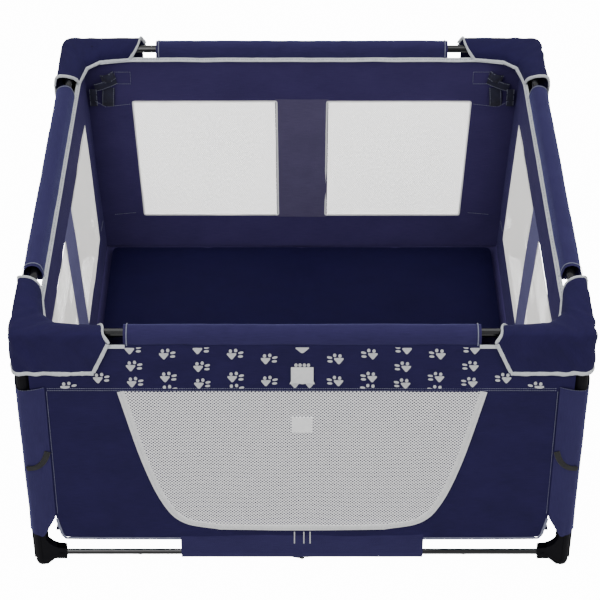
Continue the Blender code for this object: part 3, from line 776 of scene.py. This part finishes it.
def cover_rows(seed):
    """Sections of a corner cover at +x, -y, from its front edge round the corner to its side edge."""
    curve = open_curve([Vector((v, z, 0)) for v, z in COVER_PROFILE], 4)
    line, radius = 0.6105, 0.017
    steps = 72
    rows = []
    for p in curve:
        share, z = p.x, p.y
        high = min(1.0, max(0.0, (z - 0.576) / 0.10))
        edge = 0.4365 - 0.0355 * min(1.0, high / 0.80) + 0.011 * max(0.0, high - 0.8) / 0.2
        if share > 0.2:
            edge = 0.413 + 0.027 * (HEIGHT - z) / (HEIGHT - SEAM_IN_Z)
        inner = [Vector((edge, -0.557, 0)), Vector((0.470, -0.552, 0)), Vector((0.512, -0.545, 0)),
                 Vector((0.545, -0.512, 0)), Vector((0.552, -0.470, 0)), Vector((0.557, -edge, 0))]
        turn_points = [Vector((line - radius, -(line - radius), 0))
                       + Vector((math.sin(q), -math.cos(q), 0)) * radius
                       for q in (math.pi / 2 * i / 8 for i in range(9))]
        outer = [Vector((edge, -line, 0)), *turn_points, Vector((line, -edge, 0))]
        row = []
        for k in range(steps + 1):
            t = k / steps
            spot, inward = along_line(outer, t), along_line(inner, t)
            ahead, behind = along_line(outer, min(1, t + 0.01)), along_line(outer, max(0, t - 0.01))
            along = (ahead - behind).normalized()
            out = Vector((along.y, -along.x, 0))
            near = 1 - abs(t - 0.5) * 2
            s = (t - 0.5) * 0.36
            crease = 0.0022 * noise.noise(Vector((s * 24 + seed, z * 26 + share * 2, seed)))
            fold = 0.0022 * math.sin(s * 150 + z * 95 + seed) * math.exp(-((near - 0.80) / 0.20) ** 2)
            puff = (crease + fold) * (1 - 0.6 * share) + 0.0016 * math.sin(math.pi * high) * (1 - share)
            lift = (crease + fold) * 0.5 * math.sin(math.pi * share)
            point = spot.lerp(inward, share) + out * min(puff, 0.0035) * (1 - share)
            row.append(Vector((point.x, point.y, z + min(lift, 0.0015))))
        rows.append(row)
    total = 2 * (line - radius - 0.42) + radius * math.pi / 2
    return rows, total


def build_cover(name, angle, seed):
    """A padded corner cover with the piping round its four edges. It rides its post whole."""
    m = Matrix.Rotation(angle, 4, "Z")
    rows, total = cover_rows(seed)
    cover = finished(loft(rows, closed=False), f"{name}_cover", NAVY, m, solid=0.0022, even=False)
    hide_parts(f"corner_cover_{name}")
    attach(cover, f"post_{name}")
    bottom = [p + Vector((0, 0, -0.0035)) for p in rows[-1]]
    piping = finished(tube_mesh(bottom, 0.0052, wobble=0.28, flat=0.55), f"{name}_cover_piping", PIPING, m)
    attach(piping, f"post_{name}")
    hem = finished(tube_mesh(rows[0], 0.0050, wobble=0.15, flat=0.8), f"{name}_cover_inner_piping", PIPING, m)
    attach(hem, f"post_{name}")
    for tag, at in (("a", 0), ("b", -1)):
        edge = [row[at] for row in rows]
        tape = finished(tube_mesh(edge, 0.0042, wobble=0.15, flat=0.6), f"{name}_cover_edge_{tag}", PIPING, m)
        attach(tape, f"post_{name}")


# ---------------------------------------------------------------- everything else on the walls

def build_piping():
    """The pale tape round the inside of the top, one run on each side, drawn in towards the corners."""
    z = SEAM_IN_Z
    for side in SIDES:
        m = turn(side)
        points = [Vector((-0.512 + 1.024 * k / 90, 0, z)) for k in range(91)]
        for p in points:
            bend = max(0.0, (abs(p.x) - 0.44) / 0.072)
            p.y = -(INNER - 0.004 - 0.013 * bend ** 1.2)
            p.z += 0.0015 * noise.noise(Vector((p.x * 14, SIDES[side], 0)))
        path = [(p, Vector((0, 0.80, -0.60)), Vector((0, 0.60, 0.80))) for p in points]
        tape = finished(strip_mesh(path, 0.0062, 0.0022,
                                   lift=lambda k: 0.25 * noise.noise(Vector((k * 0.9, 0, 3)))),
                        f"{side}_inner_piping", PIPING, m)
        fold_with(tape, side)
        line = [[p + Vector((0, 0.0014, 0.0019)) for p in points]]
        thread = stitches(f"{side}_inner_piping_stitching", line, (0, 0.6, 0.8), m, 0.0046, 0.003, 0.0009)
        fold_with(thread, side)


PAW_STEP = 0.0705
PAW_ROWS = {1: (0.604, 0.544), 2: (0.617, 0.555, 0.522), 3: (0.631, 0.583, 0.537),
            4: (0.617, 0.555, 0.519), 5: (0.631, 0.585, 0.541), 6: (0.552,), 7: (0.528,)}
PAW_PAD = [(-0.0175, 0.0030), (0.0060, 0.0030), (-0.0060, -0.0150)]
PAW_TOES = [  # centre, half width, half height, lean: two round toes over the pad and two long ones beside it
    (-0.0080, 0.0088, 0.0034, 0.0044, 0.0), (0.0030, 0.0105, 0.0034, 0.0044, 0.0),
    (0.0135, 0.0045, 0.0056, 0.0028, 0.25), (0.0125, -0.0055, 0.0054, 0.0028, 0.1)]
BAND_LOW, BAND_HIGH = 0.5295, 0.6400


def toe(cx, cz, rx, rz, lean):
    """An ellipse about (cx, cz)."""
    turned = Matrix.Rotation(lean, 2)
    ring = [turned @ Vector((rx * math.cos(t), rz * math.sin(t))) for t in (math.pi * i / 6 for i in range(12))]
    return [(cx + p.x, cz + p.y) for p in ring]


def printed(bm, ring, x, z, flip=1):
    """One patch of print, raised a little off the band and cut at the band's edges."""
    cut = [(x + flip * px, min(max(z + pz, BAND_LOW), BAND_HIGH)) for px, pz in ring]
    if max(q[1] for q in cut) - min(q[1] for q in cut) < 0.002:
        return
    front = [bm.verts.new((px, -(PANEL + 0.0017), pz)) for px, pz in cut]
    back = [bm.verts.new((px, -(PANEL + 0.0004), pz)) for px, pz in cut]
    bm.faces.new(front)
    bm.faces.new(list(reversed(back)))
    for k in range(len(cut)):
        j = (k + 1) % len(cut)
        bm.faces.new((front[j], front[k], back[k], back[j]))


def build_paws():
    """The printed paws, mirrored about the middle of the band."""
    bm = bmesh.new()
    pad = arc_between(PAW_PAD, 0.0050, 4)
    for k, heights in PAW_ROWS.items():
        for z in heights:
            for sign in (-1, 1):
                for ring in [pad] + [toe(*spot) for spot in PAW_TOES]:
                    printed(bm, ring, sign * k * PAW_STEP, z + 0.005, -sign)
    middle_pad = arc_between([(-0.016, 0.0), (0.016, 0.0), (0.0, -0.0165)], 0.0050, 4)
    printed(bm, middle_pad, 0.0, 0.6405)
    for x in (-0.0130, -0.0045, 0.0045, 0.0130):
        printed(bm, toe(x, 0.0, 0.0035, 0.0045, 0.0), 0.0, 0.5930)
    for sign in (-1, 1):
        printed(bm, pad, sign * 0.0215, 0.5440, sign)
    bmesh.ops.recalc_face_normals(bm, faces=bm.faces)
    lay_uv(bm, lambda v: (v.co.x, v.co.z))
    fold_with(finished(bm, "paw_print", PRINT, smooth=False), "front")


def build_door():
    """The mesh door in the front wall, with its bound edge and patch, and the pull tab on the band."""
    ring = door_outline(0.006)
    door_v = PANEL + 0.0006

    def shape(x, z):
        return Vector((x, -(door_v + sag(x, z, 31, 0.003) * min(1, (0.52 - z) / 0.05)), z))

    mesh = finished(sheet_mesh(ring, [], shape, 0.02), "door_mesh", DOOR_MESH, solid=NET)
    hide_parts("door_flap")
    area_of(ring)
    spots = [Vector((x, -(door_v + 0.0008), z)) for x, z in door_outline(0.0075)]
    path = tape_path(spots)
    trim = finished(strip_mesh(path, 0.0078, 0.0026, lift=lambda k: 0.2 * noise.noise(Vector((k * 0.7, 5, 0)))),
                    "door_trim", TRIM)
    rows = [[Vector((p.x, -(door_v + 0.0034), p.z)) for p in spots]]
    seam = stitches("door_trim_stitching", rows, (0, -1, 0), Matrix(), 0.0052, 0.0036, 0.0010, PRINT)
    patch_ring = arc_between([(-0.0222, 0.4091), (0.0222, 0.4091), (0.0222, 0.4525), (-0.0222, 0.4525)], 0.003, 2)

    def patch_shape(x, z):
        return Vector((x, -(door_v + 0.0042 + 0.001 * noise.noise(Vector((x * 60, z * 60, 1)))), z))

    patch = finished(sheet_mesh(patch_ring, [], patch_shape, 0.006), "door_patch", PATCH, solid=0.0008)
    for piece in (mesh, trim, seam, patch):
        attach(piece, "door")
        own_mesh(piece)
    tab_ring = [(-0.0235, 0.5880), (0.0235, 0.5880), (0.0235, 0.5520), (0.0262, 0.5440), (0.0150, 0.5475),
                (0.0, 0.5440), (-0.0150, 0.5475), (-0.0262, 0.5440), (-0.0235, 0.5520)]

    def tab_shape(x, z):
        return Vector((x, -(PANEL + 0.0028 + 0.002 * math.sin((0.5863 - z) * 50)), z))

    tab = finished(sheet_mesh(list(reversed(tab_ring)), [], tab_shape, 0.006), "pull_tab", TRIM, solid=0.0012)
    tacks = bmesh.new()
    for x in (-0.017, 0.004, 0.018):
        dash(tacks, Vector((x, -(PANEL + 0.0030), 0.075)), Vector((x, -(PANEL + 0.0014), 0.110)),
             Vector((0, -1, 0)), 0.0028, 0.0012)
    lay_uv(tacks, lambda v: (v.co.x, v.co.z))
    bmesh.ops.recalc_face_normals(tacks, faces=tacks.faces)
    tacks = finished(tacks, "hem_tacks", PRINT, smooth=False)
    for piece in (tab, tacks):
        fold_with(piece, "front")


def build_gap_bindings():
    """The bound top edge of the front band where the rail is bare."""
    for sign, tag in ((-1, "a"), (1, "b")):
        spots = [Vector((sign * (0.368 + 0.046 * k / 8), -(PANEL + 0.0004), 0.6420)) for k in range(9)]
        path = [(p, Vector((0, 0.4, 0.9)), Vector((0, -0.9, 0.4))) for p in spots]
        fold_with(finished(strip_mesh(path, 0.0042, 0.0014), f"front_gap_binding_{tag}", PIPING), "front")


def build_straps():
    """The black straps that curve across the front corner sleeves."""
    for name, sign in (("front_left", -1), ("front_right", 1)):
        spots = open_curve([Vector((sign * x, -(PANEL + y), z)) for x, y, z in (
            (0.5497, 0.0046, 0.354), (0.556, 0.0050, 0.335), (0.566, 0.0050, 0.318), (0.580, 0.0046, 0.307),
            (0.5997, 0.0010, 0.3008))], 6)
        strap = finished(strip_mesh(tape_path(spots), 0.0068, 0.0020), f"{name}_strap", BLACK_WEB)
        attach(strap, f"post_{name}")


def build_rivets():
    """Domed rivets through the bottom rails, with a short shank below."""
    profile = [(0.0, 0.0016), (0.0022, 0.0013), (0.0036, 0.0004), (0.0038, 0.0), (0.0024, -0.0006),
               (0.0022, -0.0042), (0.0, -0.0046)]
    for side in SIDES:
        for sign in (-1, 1):
            sections = [[Vector((r * math.cos(q), r * math.sin(q), -z))
                         for q in (2 * math.pi * i / 14 for i in range(14))] for r, z in profile]
            bm = loft(sections)
            bmesh.ops.remove_doubles(bm, verts=bm.verts, dist=1e-6)
            bmesh.ops.recalc_face_normals(bm, faces=bm.faces)
            place = turn(side) @ Matrix.Translation((sign * 0.3655, -BOTTOM_RAIL_V, 0.0332))
            rivet = finished(bm, f"{side}_rail_rivet_{'ab'[sign > 0]}", STEEL, place)
            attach(rivet, rail_half(side, "bottom", sign))


def build_floor():
    """The mat, crowned and creased at its three folds, and the floor cloth under it in two halves."""
    half, high = MAT_HALF - 0.006, MAT_TOP

    def crown(x, y):
        edge = min(half - abs(x), half - abs(y))
        swell = min(1.0, edge / 0.03)
        crease = sum(math.exp(-((x - c) / 0.005) ** 2) for c in (-0.255, 0.0, 0.255))
        z = high - 0.0040 + 0.0052 * math.sqrt(max(swell, 0.0)) - 0.0022 * min(1.0, crease)
        return Vector((x, y, z + 0.0012 * noise.noise(Vector((x * 6, y * 6, 4)))))

    outline = arc_between([(-half, -half), (half, -half), (half, half), (-half, half)], 0.02, 4)
    mat = finished(sheet_mesh(outline, [], crown, 0.016), "mat_pad", MAT_CLOTH, solid=0.008)
    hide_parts("floor_mat")
    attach(mat, "mat")
    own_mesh(mat)

    def hang(x, y):
        return Vector((x, y, FLOOR_CLOTH_Z - 0.0015 * math.cos(x * 4)))

    edge, gap = INNER_EDGE, 0.0005
    for low_y, high_y, tag, half_rail in ((-edge, -gap, "a", "first"), (gap, edge, "b", "second")):
        ring = [(-edge, low_y), (edge, low_y), (edge, high_y), (-edge, high_y)]
        base = finished(sheet_mesh(ring, [], hang, 0.03), f"floor_cloth_{tag}", NAVY_INNER_PAINTED_LIGHT, solid=CLOTH)
        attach(base, f"left_bottom_{half_rail}")
        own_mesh(base)
        if tag == "a":
            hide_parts("floor_sheet")


def build_pockets():
    """Folded webbing pockets in the two far corners of the inner wall."""
    for sign, tag in ((-1, "a"), (1, "b")):
        m = turn("back")
        v = INNER - 0.008
        box = [(sign * 0.479, 0.604), (sign * 0.4385, 0.604), (sign * 0.4385, 0.569), (sign * 0.479, 0.569)]
        lines = [[(box[i][0], -v, box[i][1]), (box[(i + 1) % 4][0], -v, box[(i + 1) % 4][1])] for i in range(4)]
        lines += [[(sign * 0.443, -(v - 0.006), 0.512), (sign * 0.505, -(v - 0.012), 0.507)],
                  [(sign * 0.505, -(v - 0.012), 0.507), (sign * 0.530, -(v - 0.022), 0.530)]]
        thread = stitches(f"back_pocket_stitching_{tag}", lines, (0, 1, 0), m, 0.0046, 0.0032, 0.0010)
        fold_with(thread, "back")
        for k, (x0, z0, x1, z1, wide, lift) in enumerate((
                (0.480, 0.598, 0.512, 0.588, 0.012, 0.012), (0.476, 0.582, 0.530, 0.566, 0.011, 0.008),
                (0.496, 0.560, 0.500, 0.505, 0.016, 0.010), (0.535, 0.562, 0.535, 0.512, 0.010, 0.002))):
            spots = [Vector((sign * (x0 + (x1 - x0) * t), -(v - 0.003 - lift * math.sin(math.pi * t)
                             - max(0.0, (x0 + (x1 - x0) * t) - 0.50) * 0.35), z0 + (z1 - z0) * t))
                     for t in (i / 12 for i in range(13))]
            path = []
            for i, p in enumerate(spots):
                along = (spots[min(i + 1, 12)] - spots[max(i - 1, 0)]).normalized()
                out = Vector((0, 1, 0))
                across = along.cross(out).normalized()
                facing = across.cross(along)
                path.append((p, across, facing.normalized() * (1 if facing.y > 0 else -1)))
            web = finished(strip_mesh(path, wide, 0.0016), f"back_pocket_web_{tag}{k}", DARK_WEB, m)
            fold_with(web, "back")
            rows = [[q + across * wide * s + out * 0.0018 for q, across, out in path] for s in (-0.85, 0.85)]
            seam = stitches(f"back_pocket_seam_{tag}{k}", rows, (0, 1, 0), m, 0.0046, 0.0034, 0.0013)
            fold_with(seam, "back")


def paint_frame():
    """The CAD parts keep their shape and take a finish each."""
    graphs = {"black_tube": BLACK_TUBE, "black_plastic": BLACK_PLASTIC, "grey_rubber": GREY_RUBBER,
              "latch_button": BUTTON}
    for name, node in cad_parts.items():
        if "rail_" in name and "sleeve" not in name or name.startswith("post_") and "sleeve" not in name:
            graph = graphs["black_tube"]
        elif name.startswith("glide"):
            graph = graphs["grey_rubber"]
        elif "button" in name:
            graph = graphs["latch_button"]
        elif name.startswith(("top_bracket", "foot")) or "housing" in name:
            graph = graphs["black_plastic"]
        else:
            graph = NAVY
        node.data.materials.clear()
        node.data.materials.append(graph.material)
        node.data.polygons.foreach_set("use_smooth", [True] * len(node.data.polygons))
        node.data.set_sharp_from_angle(angle=math.radians(35))


# ---------------------------------------------------------------- stage

def build_stage():
    """A white floor that shines for the camera only, soft lights, and the photograph's camera."""
    g = Graph("stage_white", None)
    seen = g.node("LightPath").outputs["Is Camera Ray"]
    g.set(Base_Color=(0.8, 0.8, 0.8, 1), Roughness=1.0, Emission_Color=(1, 1, 1, 1),
          Emission_Strength=g.math("MULTIPLY", seen, 14.0))
    bm = bmesh.new()
    bmesh.ops.create_grid(bm, x_segments=1, y_segments=1, size=30)
    floor = finished(bm, "stage_floor", g, Matrix.Translation((0, 0, STAGE_Z)), smooth=False)
    world = bpy.data.worlds.new("studio")
    bpy.context.scene.world = world
    world.use_nodes = True
    world.node_tree.nodes["Background"].inputs["Color"].default_value = (1, 1, 1, 1)
    world.node_tree.nodes["Background"].inputs["Strength"].default_value = 0.45
    for name, place, size, power in (("key", (-1.6, -2.6, 3.6), 2.4, 60), ("fill", (2.4, -1.8, 3.0), 2.4, 35),
                                     ("top", (0.0, 0.6, 4.0), 3.0, 35)):
        light = bpy.data.lights.new(name, "AREA")
        light.energy, light.size = power, size
        obj = bpy.data.objects.new(name, light)
        obj.location = place
        obj.rotation_euler = (Vector((0, 0, 0.3)) - Vector(place)).to_track_quat("-Z", "Y").to_euler()
        bpy.context.scene.collection.objects.link(obj)
    camera = bpy.data.cameras.new("camera")
    camera.lens, camera.sensor_width = 117.2, 36
    eye = bpy.data.objects.new("camera", camera)
    eye.location = (-0.0046, -3.7516, 3.1897)
    eye.rotation_euler = (math.radians(90 - 37.642), 0, 0)
    bpy.context.scene.collection.objects.link(eye)
    bpy.context.scene.camera = eye


paint_frame()
for number, side in enumerate(SIDES):
    build_wall(side, 10.0 * number)
    build_sleeve(side, 3.0 * number)
    build_hem_sleeve(side, 5.0 * number)
for name, angle in CORNERS.items():
    build_post_sleeve(name, angle)
    build_cover(name, angle, angle * 3)
build_piping()
build_paws()
build_door()
build_gap_bindings()
build_straps()
build_rivets()
build_floor()
build_pockets()
build_stage()
